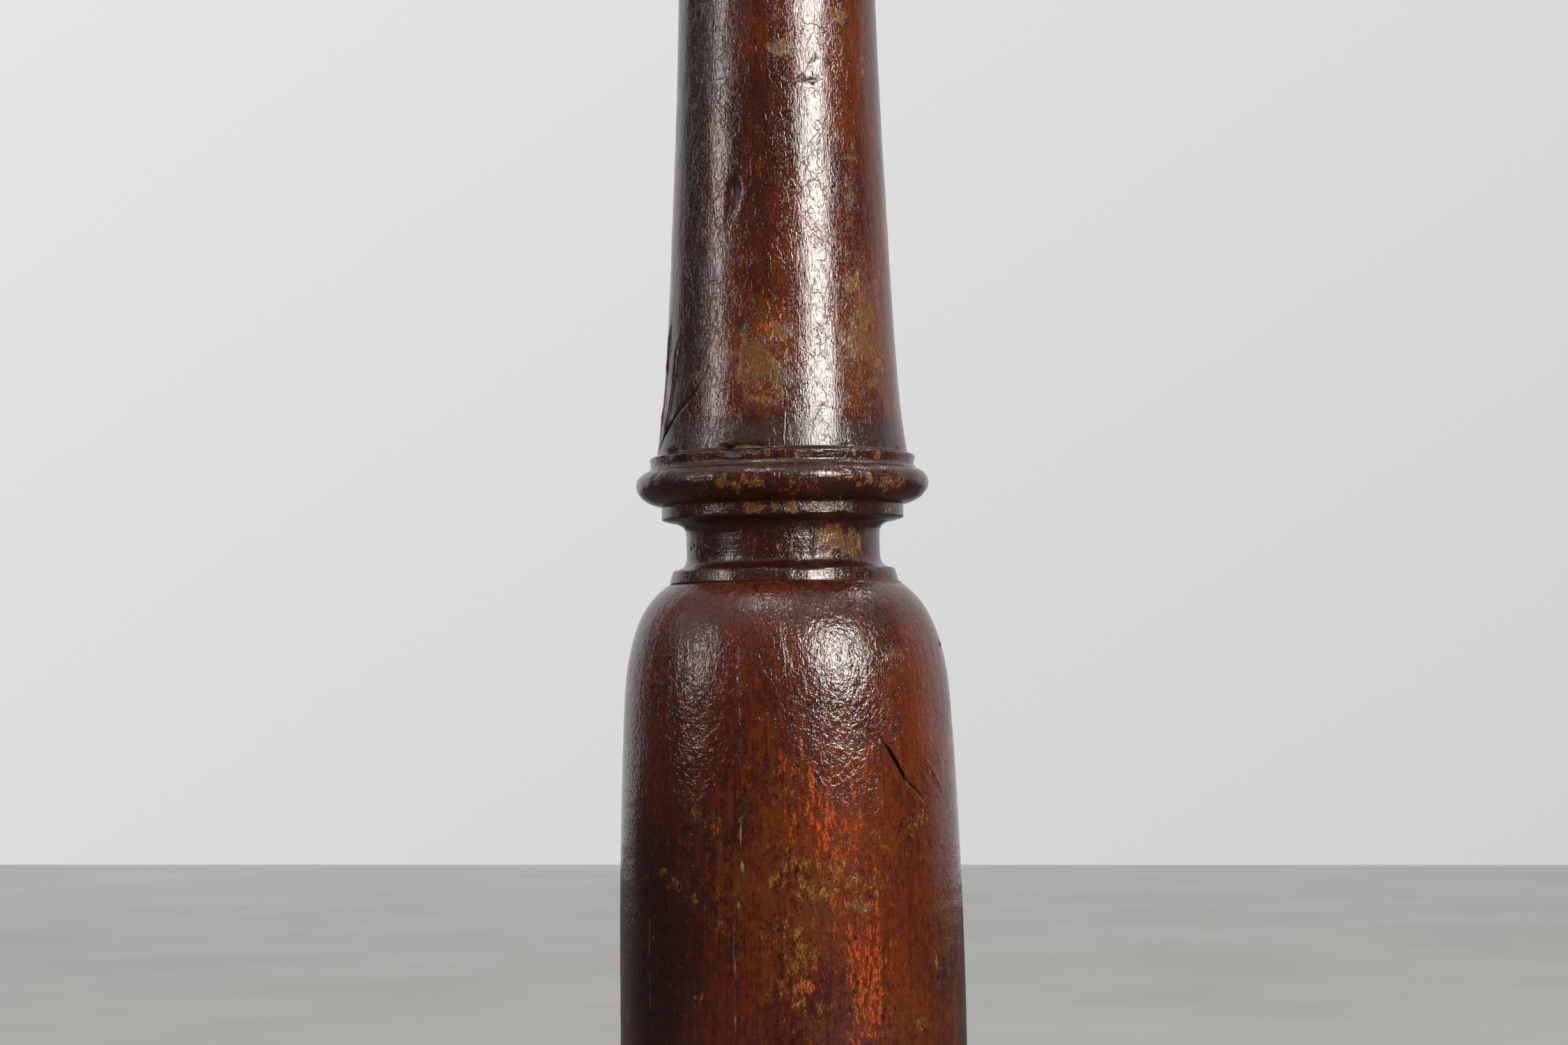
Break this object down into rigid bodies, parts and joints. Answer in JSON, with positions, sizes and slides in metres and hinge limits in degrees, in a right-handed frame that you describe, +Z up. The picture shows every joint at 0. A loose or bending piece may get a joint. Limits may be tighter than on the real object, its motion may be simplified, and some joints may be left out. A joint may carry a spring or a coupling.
{
  "type": "wooden floor candlestick",
  "caption": "Tall turned wooden floor candlestick with a belly-shaped baluster, tapered column, drip dish, loose wax pan and iron pricket for one large candle.",
  "frame": {"origin": "on the floor under the stem's axis, at the centre of the four bun feet", "axes": "+Z up the stem; the plinth's two glue seams run along Y"},
  "size_m": [0.3702, 0.3702, 1.2494],
  "materials": {
    "lacquered_wood": "old dark brown lacquer over worn red and ochre paint, glossy",
    "bare_oak": "bare riven oak",
    "wrought_iron": "hand-forged, blackened",
    "spun_brass": "tarnished, satin"
  },
  "bodies": {
    "stick": {"foot_1": "lacquered_wood", "foot_2": "lacquered_wood", "foot_3": "lacquered_wood", "foot_4": "lacquered_wood", "plinth_board_left": "lacquered_wood", "plinth_board_middle": "lacquered_wood", "plinth_board_right": "lacquered_wood", "base_cushion": "lacquered_wood", "base_dome": "lacquered_wood", "base_collar": "lacquered_wood", "baluster": "lacquered_wood", "column": "lacquered_wood", "top_collar": "lacquered_wood", "capital_cup": "lacquered_wood", "drip_dish": "lacquered_wood", "tenon_wedge": "bare_oak", "plinth_nails": "wrought_iron", "pricket": "wrought_iron"},
    "pan": {"wax_pan": "spun_brass"}
  },
  "joints": [
    {"name": "pan_lift", "type": "slide", "parent": "stick", "child": "pan", "axis": [0, 0, 1], "range_m": [0, 0.11]}
  ]
}
